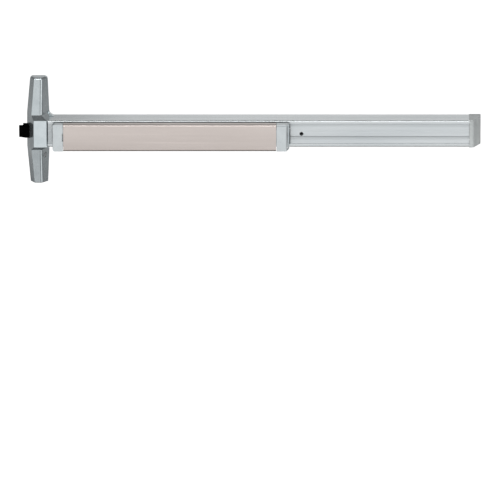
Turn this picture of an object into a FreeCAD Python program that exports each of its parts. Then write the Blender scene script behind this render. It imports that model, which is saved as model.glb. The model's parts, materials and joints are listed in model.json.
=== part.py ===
"""Rim panic exit device with a push pad: every separate piece as its own STEP file.

Millimetres. X runs along the bar from the latch head to the hinge side, Z is up, and the
door face is the plane y = 0 with the device in front of it at negative y. The origin is
the middle of the latch head on the door face.
"""

import FreeCAD
import Part
import math
import os

os.makedirs("parts", exist_ok=True)

# ---- push stroke and the linkage that carries it to the latch ----
PAD_TRAVEL = 16.0            # pad, straight towards the door
LATCH_TRAVEL = 16.0          # latch bolt, along +X
CRANK_PAD_ARM = 24.0         # bell crank pivot to pad pin, along X
CRANK_BAR_ARM = 16.0         # bell crank pivot to drawbar pin, along -Y
CRANK_HALF_ANGLE = math.degrees(math.atan(PAD_TRAVEL / 2 / CRANK_PAD_ARM))
BAR_TRAVEL = PAD_TRAVEL * CRANK_BAR_ARM / CRANK_PAD_ARM
LEVER_BAR_ARM = 12.0         # retractor pivot to drawbar pin
LEVER_LATCH_ARM = LEVER_BAR_ARM * LATCH_TRAVEL / BAR_TRAVEL
LEVER_HALF_ANGLE = math.degrees(math.atan(BAR_TRAVEL / 2 / LEVER_BAR_ARM))
PIN_R = 2.2
CRANK_SLOT_GAP = 0.3
LEVER_SLOT_GAP = 0.4
SHAFT_GAP = 0.05

# ---- mechanism case, a C channel with its mouth to the front ----
CASE_X0 = 16.0
CASE_X1 = 829.8
CASE_HALF = 26.4
CASE_DEPTH = 44.0
CASE_WALL = 2.2
MOUTH_HALF = 20.3
NECK_X0 = 16.6
NECK_X1 = 32.4

# ---- head ----
HEAD_HALF = 105.0
HEAD_RIGHT = 21.6            # right side of the head, beside the case
HEAD_WALL = 2.0
CROWN_CORNER = 6.0           # corners of the upper end, seen from the front
CROWN_ROUND = 4.5            # front edge of the upper end
FOOT_ROUND = 1.2             # front edge of the lower end
RIDGE_ROUND = 7.0            # front right ridge of each tower
BLOCK_ROUND = 1.4            # upright corners of the middle block
GUSSET = 9.5                 # flare of the head onto the case
GUSSET_DEPTH = 14.0
CHASSIS_THICK = 3.0
BLOCK_FRONT = 47.0
COVER_SCREW_Z = -48.0
TRIM_HUB_Z = -66.0
DOOR_HOLE_R = 3.25
DOOR_HOLE_X = 8.0
DOOR_HOLE_Z = 78.0

# ---- push pad ----
PAD_X0 = 48.4
PAD_X1 = 459.0
PAD_HALF = 26.6
PAD_FRONT = -76.0
PAD_BACK = -61.0
PAD_WALL = 1.6
PAD_CROWN_R = 440.0         # the pad face is slightly bowed from top to bottom
PAD_EDGE_ROUND = 4.0
CARRIER_BACK = -46.0
BLOCK_LEFT_X = 28.8
BLOCK_RIGHT_X = 480.0
SEAM = 0.8

# ---- levels and stations of the linkage ----
CRANK_STATIONS = (110.0, 400.0)
CRANK_Y = -17.0
CRANK_HALF_THICK = 3.0
BAR_Y = CRANK_Y - CRANK_BAR_ARM
BAR_Z0 = 8.0
BAR_Z1 = 11.0
LEVER_X = 6.0
LEVER_Y = -35.5
SPRING_X0 = 252.2
SPRING_X1 = 291.8
SPRING_Y = -22.0
SPRING_Z = 9.5
DOG_X = 507.0
DOG_HOLE_R = 3.8
WEB_FRONT = -CASE_WALL
BASE_FRONT = WEB_FRONT - 1.6

# ---- latch ----
LATCH_TIP = -36.7
LATCH_ROOT = -10.5
LATCH_Z0 = -14.0
LATCH_Z1 = 6.8
LATCH_BACK = -5.5
LATCH_FRONT = -23.0
DEADLATCH_TIP = -29.0

# ---- end bracket under the end cap ----
FOOT_HOLE_X = 838.0
FOOT_HOLE_Z = 13.0
TONGUE_SCREWS = (806.0, 818.0)
CAP_CREASE = 838.4          # end of the cap's flat rim
CAP_END = 852.0
CAP_HALF = 27.4


def vec(x, y, z):
    return FreeCAD.Vector(x, y, z)


def box(x0, x1, y0, y1, z0, z1):
    return Part.makeBox(x1 - x0, y1 - y0, z1 - z0, vec(x0, y0, z0))


def rod_x(x0, x1, y, z, r):
    return Part.makeCylinder(r, x1 - x0, vec(x0, y, z), vec(1, 0, 0))


def rod_y(x, z, y0, y1, r):
    return Part.makeCylinder(r, y1 - y0, vec(x, y0, z), vec(0, 1, 0))


def rod_z(x, y, z0, z1, r):
    return Part.makeCylinder(r, z1 - z0, vec(x, y, z0), vec(0, 0, 1))


def wire_of(points):
    return Part.makePolygon([vec(*p) for p in points] + [vec(*points[0])])


def prism_z(outline, z0, z1):
    """Outline of (x, y) points raised from z0 to z1."""
    face = Part.Face(wire_of([(x, y, z0) for x, y in outline]))
    return face.extrude(vec(0, 0, z1 - z0))


def prism_x(outline, x0, x1):
    """Outline of (y, z) points drawn along X."""
    face = Part.Face(wire_of([(x0, y, z) for y, z in outline]))
    return face.extrude(vec(x1 - x0, 0, 0))


def prism_y(outline, y0, y1):
    """Outline of (x, z) points drawn along Y."""
    face = Part.Face(wire_of([(x, y0, z) for x, z in outline]))
    return face.extrude(vec(0, y1 - y0, 0))


def fuse(shapes):
    return shapes[0].multiFuse(shapes[1:]).removeSplitter()


def cut(shape, tools):
    return shape.cut(tools)


def filleted(shape, radius, chosen):
    """Round the edges whose midpoint and ends satisfy the test."""
    edges = [e for e in shape.Edges if chosen(e)]
    return shape.makeFillet(radius, edges)


def middle(edge):
    return edge.valueAt((edge.FirstParameter + edge.LastParameter) / 2)


def along(edge, axis):
    """True for a straight edge that runs along the axis vector."""
    if edge.Curve.TypeId != "Part::GeomLine":
        return False
    run = edge.Vertexes[-1].Point - edge.Vertexes[0].Point
    return abs(abs(run.normalize() * axis) - 1) < 1e-6


def span(side, near, far):
    """The range from near to far on one side of the middle plane, lower end first."""
    return sorted((side * near, side * far))


def slot_z(x, y, angle, r0, r1, half, z0, z1):
    """Round-ended bar about a pivot at (x, y), from radius r0 to r1, turned by angle."""
    straight = Part.makeBox(r1 - r0, 2 * half, z1 - z0, vec(r0, -half, z0))
    ends = [rod_z(r, 0, z0, z1, half) for r in (r0, r1)]
    bar = fuse([straight] + ends)
    bar.rotate(vec(0, 0, 0), vec(0, 0, 1), angle)
    bar.translate(vec(x, y, 0))
    return bar


def save(name, shapes):
    shape = shapes[0] if len(shapes) == 1 else Part.makeCompound(shapes)
    shape.exportStep(f"parts/{name}.step")


# ------------------------------------------------------------------ mechanism case
def mechanism_case():
    outer = box(CASE_X0, CASE_X1, -CASE_DEPTH, 0, -CASE_HALF, CASE_HALF)
    x_axis = vec(1, 0, 0)
    outer = filleted(outer, 2.6, lambda e: along(e, x_axis) and middle(e).y < -40)
    inner = CASE_HALF - CASE_WALL
    hollow = box(CASE_X0 - 1, CASE_X1 + 1, -CASE_DEPTH + CASE_WALL, WEB_FRONT, -inner, inner)
    mouth = box(CASE_X0 - 1, CASE_X1 + 1, -60, -CASE_DEPTH + CASE_WALL + 1, -MOUTH_HALF, MOUTH_HALF)
    screws = [rod_y(x, z, -4, 1, 1.6) for x, z in bracket_screw_stations()]
    tongue_holes = [rod_y(x, 0, -4, 1, 1.6) for x in TONGUE_SCREWS]
    return cut(outer, [hollow, mouth] + screws + tongue_holes)


def bracket_screw_stations():
    """Every screw that holds an inner bracket to the back of the case."""
    crank = [(x + dx, z) for x in CRANK_STATIONS for dx in (-8, 8) for z in (-16, 16)]
    spring = [(x, z) for x in (301, 311) for z in (-2.5, 16)]
    dog = [(x, z) for x in (494, 520) for z in (-16, 16)]
    return crank + spring + dog


def case_cover():
    """Ribbed strip: two hollow-ground bands with a raised band between them."""
    front = -CASE_DEPTH - 0.2
    half = [(-43.4, 20.15), (-43.4, 19.9), (front + 0.4, 19.5)]
    for step in range(1, 8):
        z = 19.5 - step * 13.2 / 8
        dip = 0.6 * math.sin(math.pi * step / 8)
        half.append((front + 0.4 + dip, z))
    half += [(front + 0.4, 6.3), (front - 0.1, 4.7)]
    upper = [(-40.2, 23.7), (-41.75, 23.7), (-41.75, 20.0)] + half
    lower = [(y, -z) for y, z in reversed(upper)]
    strip = prism_x(upper + lower, 485.5, CASE_X1 - 0.4)
    hollow = box(486.9, CASE_X1 - 1.8, -42.3, -40, -18.2, 18.2)
    kept = box(497, 517, -43, -39, -10, 10)
    return cut(strip, [hollow.cut(kept), rod_y(DOG_X, 0, -50, -38, DOG_HOLE_R)])


def neck_filler():
    """Stepped plate that closes the case mouth between the head and the pad."""
    plate = box(NECK_X0, NECK_X1, -42.9, -40.5, -20.1, 20.1)
    wings = box(NECK_X0, NECK_X1, -41.7, -40.5, -23, 23)
    feet = [box(NECK_X0, NECK_X1, -41.7, -34, *span(side, 21, 23)) for side in (-1, 1)]
    rib = box(24.8, 27.0, -43.6, -42.9, -17, 17)
    return fuse([plate, wings, rib] + feet)


# ------------------------------------------------------------------ head
def head_section(z, left, flank_left, face_left, face_right, flank_right, right, depth, inset):
    """Six-cornered cross-section of the head cover at height z, drawn in by the inset."""
    back = 2.0 if inset else 0.0
    return wire_of([
        (left + inset, back, z),
        (left + inset, -flank_left, z),
        (face_left + inset * 0.7, -depth + inset, z),
        (face_right - inset * 0.7, -depth + inset, z),
        (right - inset, -flank_right, z),
        (right - inset, back, z),
    ])


def head_body(inset):
    """Towers that taper to both ends, with the deeper block in the middle."""
    tip = HEAD_HALF - inset
    tip_row = (-14.8, 8.0, -6.9, 7.2, 8.0, 18.8, 21.0)
    root_row = (-21.2, 8.0, -12.4, 7.4, 8.0, HEAD_RIGHT, 36.0)
    block_row = (-21.2, 9.0, -8.4, 17.4, 41.0, HEAD_RIGHT, BLOCK_FRONT)
    levels = [(-tip, tip_row), (-34.5, root_row), (-26.4, block_row)]
    levels += [(26.4, block_row), (34.5, root_row), (tip, tip_row)]
    return Part.makeLoft([head_section(z, *row, inset) for z, row in levels], True, True)


def crown_corners():
    """What is cut off the two upper corners to round them as seen from the front."""
    z = HEAD_HALF - CROWN_CORNER
    tools = []
    for side, x in ((-1, -9.3), (1, 13.0)):
        corner = box(*sorted((x, x + side * 9)), -60, 5, z, HEAD_HALF + 2)
        tools.append(cut(corner, [rod_y(x, z, -61, 6, CROWN_CORNER)]))
    return tools


def crown_edge(edge):
    m = middle(edge)
    return m.z > HEAD_HALF - CROWN_CORNER + 0.2 and on_front(edge)


def foot_edge(edge):
    return abs(middle(edge).z + HEAD_HALF) < 0.01 and middle(edge).y < -1


def on_front(edge):
    """True for an edge that bounds the front of the upper end, not the door side."""
    return all(v.Point.y < -7.9 for v in edge.Vertexes) and middle(edge).y < -8.5


def tower_ridge(edge):
    m = middle(edge)
    return 50 < abs(m.z) < 90 and m.y < -20 and m.x > 0


def block_corner(edge):
    m = middle(edge)
    return abs(m.z) < 1 and abs(m.y + BLOCK_FRONT) < 0.01


def head_outer():
    """Head body with its ridges, ends and block corners rounded."""
    body = filleted(head_body(0.0), RIDGE_ROUND, tower_ridge)
    body = filleted(body, FOOT_ROUND, foot_edge)
    body = filleted(body, BLOCK_ROUND, block_corner)
    return filleted(cut(body, crown_corners()), CROWN_ROUND, crown_edge)


def head_gusset(side):
    """Web that flares the back of the head onto the case, above or below it."""
    near = CASE_HALF + 0.2
    heights = span(side, near, near + GUSSET)
    web = box(HEAD_RIGHT - HEAD_WALL, HEAD_RIGHT + GUSSET - 1, -GUSSET_DEPTH, 0, *heights)
    scoop_z = side * (near + GUSSET + 0.6)
    scoop = rod_y(HEAD_RIGHT + GUSSET, scoop_z, -GUSSET_DEPTH - 1, 1, GUSSET)
    return cut(web, [scoop, head_body(HEAD_WALL)])


def head_cover():
    half = CASE_HALF + 0.2
    case_space = box(14, 30, -CASE_DEPTH - 0.2, 1, -half, half)
    window = box(-26, -10, LATCH_FRONT - 0.4, LATCH_BACK + 0.4, LATCH_Z0 - 0.4, 11.9)
    shell = cut(head_outer(), [head_body(HEAD_WALL), case_space])
    gussets = [head_gusset(side) for side in (-1, 1)]
    return cut(fuse([shell] + gussets), [window, cover_screw_tool()])


def on_screw_seat(shape):
    """Move a shape drawn along +Z to the cover screw seat, on the lower tower's right flank."""
    seat = vec(12.6, -22.4, COVER_SCREW_Z)
    outward = vec(25.0, -13.5, 0).normalize()
    up = vec(0, 0, 1)
    turn = FreeCAD.Rotation(up.cross(outward), up, outward, "ZXY")
    shape.Placement = FreeCAD.Placement(seat, turn)
    return shape


def cover_screw_tool():
    """Screw bore with a shallow round recess about its mouth."""
    return on_screw_seat(fuse([rod_z(0, 0, -10, 4, 2.1), rod_z(0, 0, -0.4, 7.6, 6.0)]))


def cover_screw():
    shank = rod_z(0, 0, -10, -0.4, 2.0)
    head = rod_z(0, 0, -0.4, 0.8, 3.8)
    cross = [box(-2.2, 2.2, -0.45, 0.45, 0.1, 4), box(-0.45, 0.45, -2.2, 2.2, 0.1, 4)]
    return on_screw_seat(cut(fuse([shank, head]), cross))


def head_chassis():
    """Base plate on the door, with two ears for the retractor and a boss for the cover screw."""
    outline = [(-12, -98), (16, -98), (18, -34), (18, 34), (16, 98), (-12, 98), (-18, 34), (-18, -34)]
    plate = prism_y(outline, -CHASSIS_THICK, 0)
    corner = box(15.9, 19, -4, 1, -27, 27)
    ears = [box(-4, 15.8, -41, -CHASSIS_THICK + 1, z0, z0 + 2) for z0 in (-18.5, 14.0)]
    post = box(-6, 5, -20, -CHASSIS_THICK + 1, COVER_SCREW_Z - 5, COVER_SCREW_Z + 5)
    bore = on_screw_seat(rod_z(0, 0, -10, 2, 2.0))
    body = fuse([cut(plate, [corner]), post] + ears)
    corners = [(x * DOOR_HOLE_X, z * DOOR_HOLE_Z) for x in (-1, 1) for z in (-1, 1)]
    holes = [rod_y(x, z, -4, 1, DOOR_HOLE_R) for x, z in corners]
    pivot = rod_z(LEVER_X, LEVER_Y, -25, 25, 2.5)
    return cut(body, holes + [pivot, rod_y(0, TRIM_HUB_Z, -4, 1, 7.0 + SHAFT_GAP), bore])


def latch_guide():
    """Collar that the latch bolt and the dead latch slide through."""
    collar = box(-18.8, -11, -26, -CHASSIS_THICK, -17.5, 14.5)
    bolt = box(-30, 0, LATCH_FRONT - 0.3, LATCH_BACK + 0.3, LATCH_Z0 - 0.3, LATCH_Z1 + 0.2)
    dead = box(-30, 0, -18.3, -7.7, LATCH_Z1 + 0.2, 11.8)
    return cut(collar, [bolt, dead]).common(head_body(HEAD_WALL + 0.3))


def latch_bolt():
    """Wedge-nosed bolt with a forked tail that takes the lever."""
    nose = [(LATCH_ROOT, LATCH_BACK), (LATCH_TIP + 1, LATCH_BACK), (LATCH_TIP, LATCH_BACK - 1)]
    nose += [(LATCH_TIP, -15.5), (LATCH_TIP + 1.2, -16.6), (-23.5, LATCH_FRONT), (LATCH_ROOT, LATCH_FRONT)]
    body = prism_z(nose, LATCH_Z0, LATCH_Z1)
    forks = [box(LATCH_ROOT - 1, 2.0, -21, -13.5, z0, z0 + 3.2) for z0 in (-6.8, 3.6)]
    spring_lug = box(-1.4, 0.8, -17, -13.5, 3.6, 11.3)
    pin = rod_z(LEVER_X - LATCH_TRAVEL / 2, LEVER_Y + LEVER_LATCH_ARM, -8, 8, PIN_R)
    return cut(fuse([body, spring_lug] + forks), [pin])


def latch_pin():
    return rod_z(LEVER_X - LATCH_TRAVEL / 2, LEVER_Y + LEVER_LATCH_ARM, -6.8, 6.8, PIN_R)


def deadlatch():
    root = LATCH_ROOT - 1
    nose = [(root, -8), (DEADLATCH_TIP, -8), (DEADLATCH_TIP, -13), (DEADLATCH_TIP + 2.5, -18), (root, -18)]
    return cut(prism_z(nose, LATCH_Z1 + 0.3, 11.5), [rod_x(-15, root + 1, -15, 9.5, 1.3)])


def coil(x0, x1, y, z, radius, wire_r, turns):
    """Compression spring along X."""
    pitch = (x1 - x0 - 2 * wire_r) / turns
    helix = Part.makeHelix(pitch, x1 - x0 - 2 * wire_r, radius)
    profile = Part.Wire([Part.makeCircle(wire_r, vec(radius, 0, 0), vec(0, 1, 0))])
    spring = Part.Wire(helix).makePipeShell([profile], True, True)
    spring.rotate(vec(0, 0, 0), vec(0, 1, 0), 90)
    spring.translate(vec(x0 + wire_r, y, z))
    return spring


def retractor_lever():
    """Slotted lever at rest: its slot leads the drawbar pin and the latch pin."""
    angle = 90 + LEVER_HALF_ANGLE
    reach = math.hypot(LEVER_LATCH_ARM, LATCH_TRAVEL / 2)
    plate = slot_z(LEVER_X, LEVER_Y, angle, 0, reach, PIN_R + 2.4, -3, 3)
    hub = rod_z(LEVER_X, LEVER_Y, -16.2, 13.7, 5.0)
    slot = slot_z(LEVER_X, LEVER_Y, angle, LEVER_BAR_ARM - 0.6, reach + 0.4, PIN_R + LEVER_SLOT_GAP, -4, 4)
    return cut(fuse([plate, hub]), [slot, rod_z(LEVER_X, LEVER_Y, -20, 20, 2.5 + SHAFT_GAP)])


def retractor_pin():
    return rod_z(LEVER_X, LEVER_Y, -18.5, 16.0, 2.5)


def trim_hub():
    """Hub with a cross slot that an outside trim turns, and a cam arm towards the latch."""
    hub = rod_y(0, TRIM_HUB_Z, -6.5, 0, 7.0)
    flange = rod_y(0, TRIM_HUB_Z, -6.5, -CHASSIS_THICK - 0.3, 9.0)
    arm = box(-3, 3, -6.5, -CHASSIS_THICK - 0.3, TRIM_HUB_Z, TRIM_HUB_Z + 12)
    cross = [box(-5, 5, -8, 1, TRIM_HUB_Z - 1.2, TRIM_HUB_Z + 1.2)]
    cross.append(box(-1.2, 1.2, -8, 1, TRIM_HUB_Z - 5, TRIM_HUB_Z + 5))
    return cut(fuse([hub, flange, arm]), cross)


# ------------------------------------------------------------------ push pad
def crowned(shape):
    """Trim the front of a pad piece to the shared bow of the pad face."""
    return shape.common(rod_x(0, 600, PAD_FRONT + PAD_CROWN_R, 0, PAD_CROWN_R))


def pad_skin():
    x0 = PAD_X0 + SEAM
    x1 = PAD_X1 - SEAM
    x_axis = vec(1, 0, 0)
    outer = box(x0, x1, PAD_FRONT, PAD_BACK, -PAD_HALF, PAD_HALF)
    outer = filleted(crowned(outer), PAD_EDGE_ROUND, lambda e: along(e, x_axis) and middle(e).y < -70)
    inner_half = PAD_HALF - PAD_WALL
    inner = box(x0 - 1, x1 + 1, PAD_FRONT + PAD_WALL, PAD_BACK - PAD_WALL, -inner_half, inner_half)
    inner = filleted(inner, 2.6, lambda e: along(e, x_axis) and middle(e).y < -70)
    mouth = box(x0 - 1, x1 + 1, -70, PAD_BACK + 1, -21.0, 21.0)
    return cut(outer, [inner, mouth])


def pad_carrier():
    """Inner channel behind the skin; its legs slide between the case lips."""
    front = PAD_FRONT + PAD_WALL
    web = box(66, 446, front, front + 2, -22, 22)
    legs = [box(66, 446, front, CARRIER_BACK, s * 18.5 - 1, s * 18.5 + 1) for s in (-1, 1)]
    holes = [rod_y(x, z, front - 1, front + 4, 1.5) for x, z in end_block_screw_stations()]
    rivets = [rod_y(x, z, front - 1, front + 4, 1.5) for x, z in clevis_rivet_stations()]
    return cut(fuse([web] + legs), holes + rivets)


def end_block_screw_stations():
    return [(x, z) for x in (71.0, 441.0) for z in (-10.0, 10.0)]


def clevis_rivet_stations():
    return [(x + CRANK_PAD_ARM + dx, 0) for x in CRANK_STATIONS for dx in (-8, 8)]


def end_block(outline, corner_round, tongue_x, skirt_x, notch):
    """Moulded block that closes one end of the pad, hollow from behind."""
    x0 = min(p[0] for p in outline)
    x1 = max(p[0] for p in outline)
    block = prism_z(outline, -PAD_HALF, PAD_HALF)
    block = filleted(block, corner_round, lambda e: abs(middle(e).z) > 25 and outer_side(e, x0, x1))
    block = crowned(block)
    hollow = box(x0 + 3.5, x1 - 3.5, PAD_FRONT + 2.5, PAD_BACK + 1, -PAD_HALF + 2.5, PAD_HALF - 2.5)
    tongue = box(*tongue_x, PAD_FRONT + PAD_WALL + 2, -68, -15, 15)
    skirts = [box(*skirt_x, PAD_FRONT + 2, CARRIER_BACK, s * 18.5 - 1, s * 18.5 + 1) for s in (-1, 1)]
    body = fuse([cut(block, [hollow]), tongue] + skirts)
    holes = [rod_y(x, z, -72.5, -60, 1.5) for x, z in end_block_screw_stations()]
    return cut(body, [notch] + holes)


def outer_side(edge, x0, x1):
    """True for the long edges down the end of the block that faces away from the pad."""
    m = middle(edge)
    run = edge.Vertexes[-1].Point - edge.Vertexes[0].Point
    if abs(run.y) < 4:
        return False
    return m.x < x0 + 3 if x0 < 100 else m.x > x1 - 6


def pad_end_block_left():
    x0 = BLOCK_LEFT_X
    outline = [(x0 + 1.0, PAD_FRONT), (PAD_X0, PAD_FRONT), (PAD_X0, PAD_BACK)]
    outline += [(x0, PAD_BACK), (x0, PAD_FRONT + 1.0)]
    slot = box(PAD_X0 - 1.6, PAD_X0 + 1, PAD_FRONT - 1, PAD_FRONT + 9, -7, 9.5)
    return end_block(outline, 4.0, (PAD_X0 - 4, 76.0), (x0 + 4.5, PAD_X0 - 0.5), slot)


def pad_end_block_right():
    x1 = BLOCK_RIGHT_X
    outline = [(PAD_X1, PAD_FRONT), (x1 - 3.0, PAD_FRONT), (x1, PAD_FRONT + 3.0)]
    outline += [(x1 + 3.6, PAD_BACK), (PAD_X1, PAD_BACK)]
    groove = box(PAD_X1 - 1, x1 + 6, PAD_FRONT - 1, PAD_FRONT + 1.8, 23.4, 24.8)
    return end_block(outline, 3.0, (436.0, PAD_X1 + 4), (PAD_X1 + 0.5, x1 - 1), groove)


def end_block_screws():
    screws = []
    for x, z in end_block_screw_stations():
        shank = rod_y(x, z, PAD_FRONT + PAD_WALL + 0.2, -67.9, 1.5)
        head = rod_y(x, z, -68, -66.2, 2.8)
        level = box(x - 1.8, x + 1.8, -67.2, -66, z - 0.4, z + 0.4)
        upright = box(x - 0.4, x + 0.4, -67.2, -66, z - 1.8, z + 1.8)
        screws.append(cut(fuse([shank, head]), [level, upright]))
    return screws


def pad_clevis(station):
    """Forked hanger from the carrier to the bell crank slot."""
    x = station + CRANK_PAD_ARM
    pin_y = CRANK_Y - PAD_TRAVEL / 2
    seat = PAD_FRONT + PAD_WALL + 2
    base = box(x - 12, x + 12, seat, seat + 2, -9, 9)
    forks = [box(x - 4, x + 4, seat, pin_y, z0, z0 + 3) for z0 in (-7, 4)]
    tips = [rod_z(x, pin_y, z0, z0 + 3, 4) for z0 in (-7, 4)]
    holes = [rod_y(x + dx, 0, seat - 1, seat + 3, 1.5) for dx in (-8, 8)]
    return cut(fuse([base] + forks + tips), [rod_z(x, pin_y, -10, 10, PIN_R)] + holes)


def clevis_pins():
    pin_y = CRANK_Y - PAD_TRAVEL / 2
    return [rod_z(x + CRANK_PAD_ARM, pin_y, -7, 7, PIN_R) for x in CRANK_STATIONS]


def clevis_rivets():
    rivets = []
    seat = PAD_FRONT + PAD_WALL + 2
    for x, z in clevis_rivet_stations():
        rivets.append(fuse([rod_y(x, z, seat - 1.9, seat + 2, 1.5), rod_y(x, z, seat + 2, seat + 3.4, 2.6)]))
    return rivets


# ------------------------------------------------------------------ linkage in the case
def bell_crank(station):
    """Crank at rest: one arm to the pad pin, the other to the drawbar pin."""
    arms = []
    slots = []
    rows = [(-CRANK_HALF_ANGLE, CRANK_PAD_ARM), (-90 - CRANK_HALF_ANGLE, CRANK_BAR_ARM)]
    for angle, arm in rows:
        reach = arm / math.cos(math.radians(CRANK_HALF_ANGLE))
        levels = (-CRANK_HALF_THICK, CRANK_HALF_THICK)
        arms.append(slot_z(station, CRANK_Y, angle, 0, reach, PIN_R + 2.4, *levels))
        slot_half = PIN_R + CRANK_SLOT_GAP
        slots.append(slot_z(station, CRANK_Y, angle, arm - 0.5, reach + 0.3, slot_half, -5, 5))
    hub = rod_z(station, CRANK_Y, -3.6, 3.6, 6.0)
    return cut(fuse(arms + [hub]), slots + [rod_z(station, CRANK_Y, -9, 9, 2.5 + SHAFT_GAP)])


def crank_bracket(station):
    """Base screwed to the case, with two ears for the crank pivot."""
    base = box(station - 12, station + 12, BASE_FRONT, WEB_FRONT, -20, 20)
    ears = []
    for z0 in (-6.4, 3.9):
        ears.append(box(station - 6, station + 6, CRANK_Y, BASE_FRONT + 1, z0, z0 + 2.5))
        ears.append(rod_z(station, CRANK_Y, z0, z0 + 2.5, 6.0))
    holes = [rod_y(station + dx, z, -9, 1, 1.6) for dx in (-8, 8) for z in (-16, 16)]
    return cut(fuse([base] + ears), [rod_z(station, CRANK_Y, -9, 9, 2.5)] + holes)


def crank_pins():
    return [rod_z(x, CRANK_Y, -6.4, 6.4, 2.5) for x in CRANK_STATIONS]


def drawbar():
    """Flat bar from the retractor lever to the dogging screw."""
    y0 = BAR_Y - 5.5
    y1 = BAR_Y + 4.5
    tab_y = LEVER_Y + LEVER_BAR_ARM
    outline = [(-4.0, tab_y - 3.7), (23, tab_y - 3.7), (33, y0), (498.5, y0), (498.5, y1)]
    outline += [(38, y1), (30, tab_y + 3.7), (-4.0, tab_y + 3.7)]
    strip = prism_z(outline, BAR_Z0, BAR_Z1)
    tooth = box(496.0, 498.5, y0, y1, 4.2, BAR_Z1)
    spring_tab = box(SPRING_X0 - 2.2, SPRING_X0 - 0.2, y0, SPRING_Y + 6, 4.0, 15.0)
    pins = [rod_z(x, y, 0, 20, PIN_R) for x, y in drawbar_pin_stations()]
    return cut(fuse([strip, tooth, spring_tab]), pins + [rod_x(240, 260, SPRING_Y, SPRING_Z, 2.3)])


def drawbar_pin_stations():
    crank = [(x - BAR_TRAVEL / 2, BAR_Y) for x in CRANK_STATIONS]
    return crank + [(LEVER_X - BAR_TRAVEL / 2, LEVER_Y + LEVER_BAR_ARM)]


def drawbar_pins():
    return [rod_z(x, y, -3.0, BAR_Z1 + 0.8, PIN_R) for x, y in drawbar_pin_stations()]


def spring_bracket():
    base = box(292, 316, BASE_FRONT, WEB_FRONT, -6, 20)
    stop = box(292, 294, -28.0, BASE_FRONT + 1, 3, 16)
    holes = [rod_y(x, z, -9, 1, 1.6) for x in (301, 311) for z in (-2.5, 16)]
    return cut(fuse([base, stop]), holes + [rod_x(290, 296, SPRING_Y, SPRING_Z, 2.0)])


def spring_rod():
    return fuse([rod_x(238, 294, SPRING_Y, SPRING_Z, 2.0), rod_x(294, 295.5, SPRING_Y, SPRING_Z, 3.4)])


def dogging_bracket():
    base = box(488, 526, BASE_FRONT, WEB_FRONT, -20, 20)
    uprights = [box(x0, x0 + 1.6, -28, BASE_FRONT + 1, -12, 12) for x0 in (488, 524.4)]
    bridge = box(488, 526, -28, -26, -12, 12)
    holes = [rod_y(x, z, -9, 1, 1.6) for x in (494, 520) for z in (-16, 16)]
    return cut(fuse([base, bridge] + uprights), holes + [rod_y(DOG_X, 0, -30, -20, 3.5 + SHAFT_GAP)])


def dogging_screw():
    """Hex-socket spindle with a lobe that swings up behind the drawbar tooth."""
    spindle = rod_y(DOG_X, 0, -39.6, -22, 3.5)
    collar = rod_y(DOG_X, 0, -30.0, -28.2, 4.0)
    lobe = box(DOG_X - 7.6, DOG_X, -37, -32, -4.0, -0.6)
    across = 4.0 / math.sqrt(3)
    corners = [math.radians(60 * k) for k in range(6)]
    socket = prism_y([(DOG_X + across * math.cos(a), across * math.sin(a)) for a in corners], -41, -33)
    return cut(fuse([spindle, collar, lobe]), [socket])


def dogging_clip():
    ring = rod_y(DOG_X, 0, -25.7, -24.7, 6.0)
    return cut(ring, [rod_y(DOG_X, 0, -27, -23, 3.5), box(DOG_X - 2.4, DOG_X + 2.4, -27, -23, -8, -2.6)])


def bracket_screws():
    screws = []
    for x, z in bracket_screw_stations():
        shank = rod_y(x, z, BASE_FRONT, -0.2, 1.6)
        head = rod_y(x, z, BASE_FRONT - 1.6, BASE_FRONT, 3.0)
        slot = box(x - 4, x + 4, BASE_FRONT - 2, BASE_FRONT - 0.9, z - 0.4, z + 0.4)
        screws.append(cut(fuse([shank, head]), [slot]))
    return screws


# ------------------------------------------------------------------ hinge end
def end_bracket():
    """Foot screwed to the door, a tongue into the case and a tab for the cap screw."""
    foot = box(CASE_X1 + 0.3, 847, -3, 0, -22, 22)
    tongue = box(798, 834, WEB_FRONT - 2.5, WEB_FRONT, -18, 18)
    tab = box(844.5, 847, -14, -1, -8, 8)
    holes = [rod_y(FOOT_HOLE_X, z, -8, 1, DOOR_HOLE_R) for z in (-FOOT_HOLE_Z, FOOT_HOLE_Z)]
    clear = [rod_y(FOOT_HOLE_X, z, -8, -3, 6.5) for z in (-FOOT_HOLE_Z, FOOT_HOLE_Z)]
    tongue_holes = [rod_y(x, 0, -8, 1, 1.6) for x in TONGUE_SCREWS]
    return cut(fuse([foot, tongue, tab]), holes + clear + tongue_holes + [rod_x(840, 850, -9.5, 0, 1.8)])


def tongue_screws():
    front = WEB_FRONT - 2.5
    screws = []
    for x in TONGUE_SCREWS:
        slot = box(x - 4, x + 4, front - 2, front - 0.9, -0.4, 0.4)
        shank = rod_y(x, 0, front, -0.2, 1.6)
        head = rod_y(x, 0, front - 1.6, front, 3.0)
        screws.append(cut(fuse([shank, head]), [slot]))
    return screws


def cap_profile(inset):
    """Plan outline of the end cap: flat rim, then a bevel that falls back to the end."""
    back = 2.0 if inset else 0.0
    return [
        (CASE_X1, back),
        (CASE_X1, -45.2 + inset * 1.2),
        (CAP_CREASE - inset * 0.4, -45.2 + inset * 1.2),
        (CAP_END - 1.2 - inset, -20.0 + inset * 0.3),
        (CAP_END - inset, -17.0),
        (CAP_END - inset, back),
    ]


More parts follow.
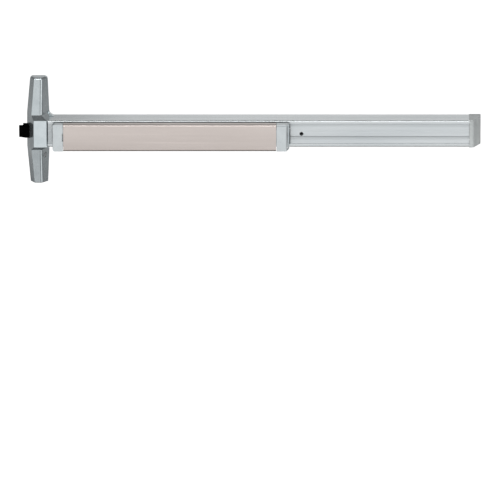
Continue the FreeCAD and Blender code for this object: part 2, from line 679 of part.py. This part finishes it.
def end_cap():
    """Bevelled cap with a flat rim against the case end and a crease behind the rim."""
    z_axis = vec(0, 0, 1)
    outer = prism_z(cap_profile(0.0), -CAP_HALF, CAP_HALF)
    outer = filleted(outer, 1.2, lambda e: not along(e, z_axis) and middle(e).x > 836 and middle(e).y < -10)
    inner = prism_z(cap_profile(2.0), -CAP_HALF + 2, CAP_HALF - 2)
    crease = [box(CAP_CREASE - 2.0, CAP_CREASE - 0.5, -46, -43.6, -28, 28)]
    for side in (-1, 1):
        crease.append(box(CAP_CREASE - 2.0, CAP_CREASE - 0.5, -46, -2, side * 27.6 - 0.7, side * 27.6 + 0.7))
    notch = box(CASE_X1 - 0.4, CAP_CREASE, -46, -44.4, 24.4, 25.4)
    screw_seat = [rod_x(CAP_END - 5, CAP_END + 5, -9.5, 0, 1.8), rod_x(CAP_END - 1.2, CAP_END + 1, -9.5, 0, 3.7)]
    shell = cut(outer, [inner, notch] + screw_seat + crease)
    ribs = []
    for side in (-1, 1):
        ribs.append(box(818, CASE_X1 + 1.5, -38, -10, side * 23.3 - 0.6, side * 23.3 + 0.6))
        ribs.append(box(CASE_X1 + 0.1, CASE_X1 + 1.5, -38, -10, *span(side, 22.7, 25.6)))
    return fuse([shell] + ribs)


def end_cap_screw():
    shank = rod_x(CAP_END - 8, CAP_END - 1.2, -9.5, 0, 1.8)
    head = rod_x(CAP_END - 1.2, CAP_END - 0.1, -9.5, 0, 3.4)
    slot = box(CAP_END - 0.7, CAP_END + 3, -14, -5, -0.4, 0.4)
    return cut(fuse([shank, head]), [slot])


save("mechanism_case", [mechanism_case()])
save("case_cover", [case_cover()])
save("neck_filler", [neck_filler()])
save("head_cover", [head_cover()])
save("cover_screw", [cover_screw()])
save("head_chassis", [head_chassis()])
save("latch_guide", [latch_guide()])
save("latch_bolt", [latch_bolt()])
save("latch_pin", [latch_pin()])
save("deadlatch", [deadlatch()])
save("deadlatch_spring", [coil(-14.8, -1.5, -15, 9.5, 0.8, 0.25, 8)])
save("retractor_lever", [retractor_lever()])
save("retractor_pin", [retractor_pin()])
save("trim_hub", [trim_hub()])
save("pad_skin", [pad_skin()])
save("pad_carrier", [pad_carrier()])
save("pad_end_block_left", [pad_end_block_left()])
save("pad_end_block_right", [pad_end_block_right()])
save("end_block_screws", end_block_screws())
save("clevis_pins", clevis_pins())
save("clevis_rivets", clevis_rivets())
save("crank_pins", crank_pins())
for side, station in zip(("left", "right"), CRANK_STATIONS):
    save(f"pad_clevis_{side}", [pad_clevis(station)])
    save(f"bell_crank_{side}", [bell_crank(station)])
    save(f"crank_bracket_{side}", [crank_bracket(station)])
save("drawbar", [drawbar()])
save("drawbar_pins", drawbar_pins())
save("return_spring", [coil(SPRING_X0, SPRING_X1, SPRING_Y, SPRING_Z, 3.8, 0.8, 9)])
save("spring_rod", [spring_rod()])
save("spring_bracket", [spring_bracket()])
save("dogging_bracket", [dogging_bracket()])
save("dogging_screw", [dogging_screw()])
save("dogging_clip", [dogging_clip()])
save("bracket_screws", bracket_screws())
save("end_bracket", [end_bracket()])
save("tongue_screws", tongue_screws())
save("end_cap", [end_cap()])
save("end_cap_screw", [end_cap_screw()])
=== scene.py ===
"""Looks, light and camera for the panic exit bar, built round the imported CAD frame."""

import json
import math

import bpy
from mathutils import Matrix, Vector


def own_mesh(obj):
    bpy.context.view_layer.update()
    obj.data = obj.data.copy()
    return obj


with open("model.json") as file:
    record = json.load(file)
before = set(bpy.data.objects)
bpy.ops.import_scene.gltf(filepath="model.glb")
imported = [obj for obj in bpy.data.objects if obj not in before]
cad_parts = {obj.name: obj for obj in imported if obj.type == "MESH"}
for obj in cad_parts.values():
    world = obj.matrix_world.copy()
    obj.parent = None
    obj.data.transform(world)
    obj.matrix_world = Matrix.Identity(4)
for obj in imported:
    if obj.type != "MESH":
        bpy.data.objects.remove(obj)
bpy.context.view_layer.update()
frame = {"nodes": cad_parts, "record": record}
nodes = frame["nodes"]

# ------------------------------------------------------------------ camera
CAMERA_DISTANCE = 20.0
CAMERA_ELEVATION = 16.0
CAMERA_PITCH = 16.64
CAMERA_LENS = 748.8
AIM = Vector((0.408, -0.044, 0.0))


def add_camera():
    """Looks along +Y and down at the bar from far off, so that its uprights stay parallel."""
    rise = math.radians(CAMERA_ELEVATION)
    camera = bpy.data.objects.new("camera", bpy.data.cameras.new("camera"))
    camera.location = AIM + CAMERA_DISTANCE * Vector((0, -math.cos(rise), math.sin(rise)))
    camera.rotation_euler = (math.radians(90 - CAMERA_PITCH), 0, 0)
    camera.data.lens = CAMERA_LENS
    camera.data.sensor_width = 36
    camera.data.clip_end = 90
    bpy.context.scene.collection.objects.link(camera)
    bpy.context.scene.camera = camera


# ------------------------------------------------------------------ light
ROOM_STRENGTH = 1.25

# grey level of the room round the object: 0.5 is straight in front, more is to the right
AROUND = [(0.0, 0.72), (0.06, 0.5), (0.10, 0.3), (0.30, 0.2), (0.42, 0.8), (0.48, 1.1), (0.52, 1.1)]
AROUND += [(0.545, 0.3), (0.58, 0.3), (0.61, 1.5), (0.67, 1.5), (0.71, 0.25), (0.80, 0.28)]
AROUND += [(0.86, 0.36), (0.93, 0.55), (1.0, 0.72)]

# grey level of the room from straight below, 0, to straight above, 1
UPWARD = [(0.0, 0.03), (0.12, 0.1), (0.2, 0.65), (0.3, 0.68), (0.4, 0.95), (0.5, 0.8), (0.6, 0.65)]
UPWARD += [(0.76, 0.55), (0.9, 0.28), (1.0, 0.25)]

# place, aim point, size along and up in metres, and power in watts
KEY_LIGHT = ((0.75, -2.2, 2.2), (0.4, 0, 0), (2.0, 1.1), 32)
BACK_LIGHT = ((1.5, 2.6, 1.0), (0.8, 0, 0), (3.0, 1.0), 3.5)


def add_area(name, place, aim, size, power):
    """A white rectangular lamp at a place, turned towards its aim point."""
    data = bpy.data.lights.new(name, "AREA")
    data.shape = "RECTANGLE"
    data.size = size[0]
    data.size_y = size[1]
    data.energy = power
    light = bpy.data.objects.new(name, data)
    light.location = place
    light.rotation_euler = (Vector(aim) - Vector(place)).to_track_quat("-Z", "Y").to_euler()
    bpy.context.scene.collection.objects.link(light)


def graded(tree, value, stops):
    """A colour ramp over a 0 to 1 value, from (position, grey level) stops."""
    ramp = tree.nodes.new("ShaderNodeValToRGB")
    elements = ramp.color_ramp.elements
    elements.remove(elements[1])
    elements[0].position = stops[0][0]
    elements[0].color = (stops[0][1],) * 3 + (1,)
    for position, level in stops[1:]:
        elements.new(position).color = (level,) * 3 + (1,)
    tree.links.new(value, ramp.inputs["Fac"])
    return ramp.outputs["Color"]


def calculated(tree, operation, *values):
    """A maths node over sockets and plain numbers."""
    node = tree.nodes.new("ShaderNodeMath")
    node.operation = operation
    for slot, value in zip(node.inputs, values):
        if isinstance(value, bpy.types.NodeSocket):
            tree.links.new(value, slot)
        else:
            slot.default_value = value
    return node.outputs[0]


def add_room():
    """A room of light and dark bands round the part, with no walls to cast or catch shadows."""
    world = bpy.data.worlds.new("studio")
    world.use_nodes = True
    tree = world.node_tree
    direction = tree.nodes.new("ShaderNodeTexCoord").outputs["Generated"]
    parts = tree.nodes.new("ShaderNodeSeparateXYZ")
    tree.links.new(direction, parts.inputs[0])
    x, y, z = parts.outputs
    turn = calculated(tree, "ARCTAN2", x, calculated(tree, "MULTIPLY", y, -1.0))
    around = calculated(tree, "ADD", calculated(tree, "DIVIDE", turn, 2 * math.pi), 0.5)
    upward = calculated(tree, "ADD", calculated(tree, "MULTIPLY", z, 0.5), 0.5)
    walls = graded(tree, around, AROUND)
    height = graded(tree, upward, UPWARD)
    mixed = tree.nodes.new("ShaderNodeMix")
    mixed.data_type = "RGBA"
    mixed.blend_type = "MULTIPLY"
    mixed.inputs["Factor"].default_value = 1.0
    tree.links.new(walls, mixed.inputs["A"])
    tree.links.new(height, mixed.inputs["B"])
    background = tree.nodes["Background"]
    tree.links.new(mixed.outputs["Result"], background.inputs["Color"])
    background.inputs["Strength"].default_value = ROOM_STRENGTH
    bpy.context.scene.world = world


def add_studio():
    """The room, the two lamps and plain colours."""
    add_room()
    add_area("key", *KEY_LIGHT)
    add_area("back", *BACK_LIGHT)
    bpy.context.scene.view_settings.view_transform = "Standard"


# ------------------------------------------------------------------ floor
FLOOR_LEVEL = -1.05
FLOOR_HALF_WIDTH = 14.0
FLOOR_NEAR = -14.0
FLOOR_FAR = 28.0
FLOOR_GLOW = 0.8


def add_floor():
    """A wide white floor below the part, kept out of the metal's reflections."""
    near = [(x, FLOOR_NEAR, FLOOR_LEVEL) for x in (-FLOOR_HALF_WIDTH, FLOOR_HALF_WIDTH)]
    far = [(x, FLOOR_FAR, FLOOR_LEVEL) for x in (FLOOR_HALF_WIDTH, -FLOOR_HALF_WIDTH)]
    mesh = bpy.data.meshes.new("floor")
    mesh.from_pydata(near + far, [], [(0, 1, 2, 3)])
    floor = bpy.data.objects.new("floor", mesh)
    material = bpy.data.materials.new("floor_paper")
    material.use_nodes = True
    shader = material.node_tree.nodes["Principled BSDF"]
    shader.inputs["Base Color"].default_value = (0.95, 0.955, 0.95, 1)
    shader.inputs["Roughness"].default_value = 0.9
    shader.inputs["Emission Color"].default_value = (1, 1, 1, 1)
    shader.inputs["Emission Strength"].default_value = FLOOR_GLOW
    mesh.materials.append(material)
    bpy.context.scene.collection.objects.link(floor)
    floor.visible_glossy = False


# ------------------------------------------------------------------ materials
# noise factors cluster round 0.5, so these stretches of them are spread over a whole range
COLOUR_SPAN = (0.3, 0.7)
FINISH_SPAN = (0.25, 0.75)
NOISE_ROUGHNESS = 0.55

# drawn metal: how much its lines and its clouds are stretched per axis, in repeats per metre
LINE_REPEATS = (3.0, 900.0, 900.0)
CLOUD_REPEATS = (5.0, 30.0, 30.0)
LINE_DEPTH = 0.0002
LINE_ANISOTROPY = 0.35

# painted casting and dark moulding: grain and patches in repeats per metre, relief in metres
EVEN = (1, 1, 1)
GRAIN_REPEATS = 1400.0
PATCH_REPEATS = 45.0
GRAIN_DEPTH = 0.0003
MOTTLE_REPEATS = 260.0
MOTTLE_DEPTH = 0.0002
MOTTLE_RELIEF = 0.15


class Shader:
    """A principled material with small helpers to wire its node inputs."""

    def __init__(self, name, metallic, specular=0.5):
        self.material = bpy.data.materials.new(name)
        self.material.use_nodes = True
        self.tree = self.material.node_tree
        self.bsdf = self.tree.nodes["Principled BSDF"]
        self.bsdf.inputs["Metallic"].default_value = metallic
        self.bsdf.inputs["Specular IOR Level"].default_value = specular
        self.coords = self.tree.nodes.new("ShaderNodeTexCoord").outputs["Object"]

    def link(self, source, target):
        self.tree.links.new(source, target)

    def noise(self, stretch, scale=1.0, detail=4.0):
        """Noise in object space, stretched per axis."""
        mapping = self.tree.nodes.new("ShaderNodeMapping")
        mapping.inputs["Scale"].default_value = stretch
        self.link(self.coords, mapping.inputs["Vector"])
        texture = self.tree.nodes.new("ShaderNodeTexNoise")
        texture.inputs["Scale"].default_value = scale
        texture.inputs["Detail"].default_value = detail
        texture.inputs["Roughness"].default_value = NOISE_ROUGHNESS
        self.link(mapping.outputs["Vector"], texture.inputs["Vector"])
        return texture.outputs["Fac"]

    def ramp(self, source, low, high):
        """A two-colour ramp driven by a factor."""
        node = self.tree.nodes.new("ShaderNodeValToRGB")
        ends = zip(node.color_ramp.elements, COLOUR_SPAN, (low, high))
        for element, position, colour in ends:
            element.position = position
            element.color = (*colour, 1)
        self.link(source, node.inputs["Fac"])
        return node.outputs["Color"]

    def spread(self, source, low, high):
        """A factor mapped to the range from low to high."""
        node = self.tree.nodes.new("ShaderNodeMapRange")
        node.inputs["From Min"].default_value = FINISH_SPAN[0]
        node.inputs["From Max"].default_value = FINISH_SPAN[1]
        node.inputs["To Min"].default_value = low
        node.inputs["To Max"].default_value = high
        self.link(source, node.inputs["Value"])
        return node.outputs["Result"]

    def bump(self, source, strength, distance):
        """Surface relief from a height factor, with its distance in metres."""
        node = self.tree.nodes.new("ShaderNodeBump")
        node.inputs["Strength"].default_value = strength
        node.inputs["Distance"].default_value = distance
        self.link(source, node.inputs["Height"])
        self.link(node.outputs["Normal"], self.bsdf.inputs["Normal"])

    def colour(self, socket):
        self.link(socket, self.bsdf.inputs["Base Color"])

    def roughness(self, socket):
        self.link(socket, self.bsdf.inputs["Roughness"])


def drawn_metal(name, low, high, rough, grain, metallic=0.85):
    """Satin metal with fine lines along X, as extruded or rolled stock has."""
    s = Shader(name, metallic)
    lines = s.noise(LINE_REPEATS, detail=3.0)
    s.colour(s.ramp(s.noise(CLOUD_REPEATS), low, high))
    s.roughness(s.spread(lines, rough - 0.06, rough + 0.08))
    s.bump(lines, grain, LINE_DEPTH)
    s.bsdf.inputs["Anisotropic"].default_value = LINE_ANISOTROPY
    return s.material


def sprayed_metal(name, low, high, rough, grain, metallic=0.6):
    """Painted casting: an even colour with a fine grain in it."""
    s = Shader(name, metallic)
    speckle = s.noise(EVEN, scale=GRAIN_REPEATS, detail=2.0)
    s.colour(s.ramp(s.noise(EVEN, scale=PATCH_REPEATS, detail=6.0), low, high))
    s.roughness(s.spread(speckle, rough - 0.07, rough + 0.07))
    s.bump(speckle, grain, GRAIN_DEPTH)
    return s.material


def moulded(name, low, high, rough, specular=0.35):
    """Dark moulding or blackened steel with a faint mottle."""
    s = Shader(name, 0.0, specular)
    mottle = s.noise(EVEN, scale=MOTTLE_REPEATS)
    s.colour(s.ramp(mottle, low, high))
    s.roughness(s.spread(mottle, rough - 0.06, rough + 0.1))
    s.bump(mottle, MOTTLE_RELIEF, MOTTLE_DEPTH)
    return s.material


MATERIALS = {
    "case_alloy": drawn_metal("case_alloy", (0.55, 0.585, 0.60), (0.62, 0.65, 0.66), 0.24, 0.08),
    # darker than case_alloy: painted shade for the neck's recess between the head and the pad block
    "shaded_neck_alloy": drawn_metal("shaded_neck_alloy", (0.42, 0.45, 0.465), (0.475, 0.50, 0.51), 0.24, 0.08),
    "cover_alloy": drawn_metal("cover_alloy", (0.60, 0.64, 0.66), (0.66, 0.695, 0.71), 0.34, 0.10),
    "pad_steel": drawn_metal("pad_steel", (0.58, 0.52, 0.49), (0.62, 0.56, 0.53), 0.32, 0.10),
    "block_grey": sprayed_metal("block_grey", (0.53, 0.57, 0.585), (0.60, 0.64, 0.655), 0.32, 0.08),
    "head_grey": sprayed_metal("head_grey", (0.49, 0.54, 0.56), (0.57, 0.62, 0.64), 0.17, 0.06, 0.9),
    "cap_grey": sprayed_metal("cap_grey", (0.46, 0.485, 0.485), (0.62, 0.65, 0.65), 0.42, 0.6),
    "latch_black": moulded("latch_black", (0.001, 0.001, 0.001), (0.003, 0.003, 0.003), 0.7, 0.0),
    "dark_steel": moulded("dark_steel", (0.03, 0.03, 0.032), (0.06, 0.06, 0.062), 0.4),
    "zinc_steel": sprayed_metal("zinc_steel", (0.48, 0.49, 0.50), (0.58, 0.59, 0.60), 0.35, 0.08, 0.9),
    "pin_steel": drawn_metal("pin_steel", (0.50, 0.50, 0.51), (0.58, 0.58, 0.59), 0.25, 0.05, 1.0),
    "spring_steel": drawn_metal("spring_steel", (0.24, 0.24, 0.25), (0.32, 0.32, 0.33), 0.3, 0.05, 1.0),
    "guide_plastic": moulded("guide_plastic", (0.02, 0.02, 0.02), (0.035, 0.035, 0.036), 0.5),
}

# nodes painted darker than the rest of their slot: painted shade for where they sit recessed between
# other parts
PAINTED_SHADE_FINISH = {"neck_filler": "shaded_neck_alloy"}


def dress_nodes():
    """Every CAD node takes the material of its slot in the record, or a darker one that paints in the
    shade of its recess.
    """
    for part in frame["record"]["subparts"]:
        finish = PAINTED_SHADE_FINISH.get(part["node"], part["material_slot"])
        mesh = nodes[part["node"]].data
        mesh.materials.clear()
        mesh.materials.append(MATERIALS[finish])


def compress_springs():
    """Gives each spring a mesh of its own, not shared with other objects."""
    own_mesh(nodes["return_spring"])
    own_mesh(nodes["deadlatch_spring"])


add_camera()
add_studio()
add_floor()
dress_nodes()
compress_springs()
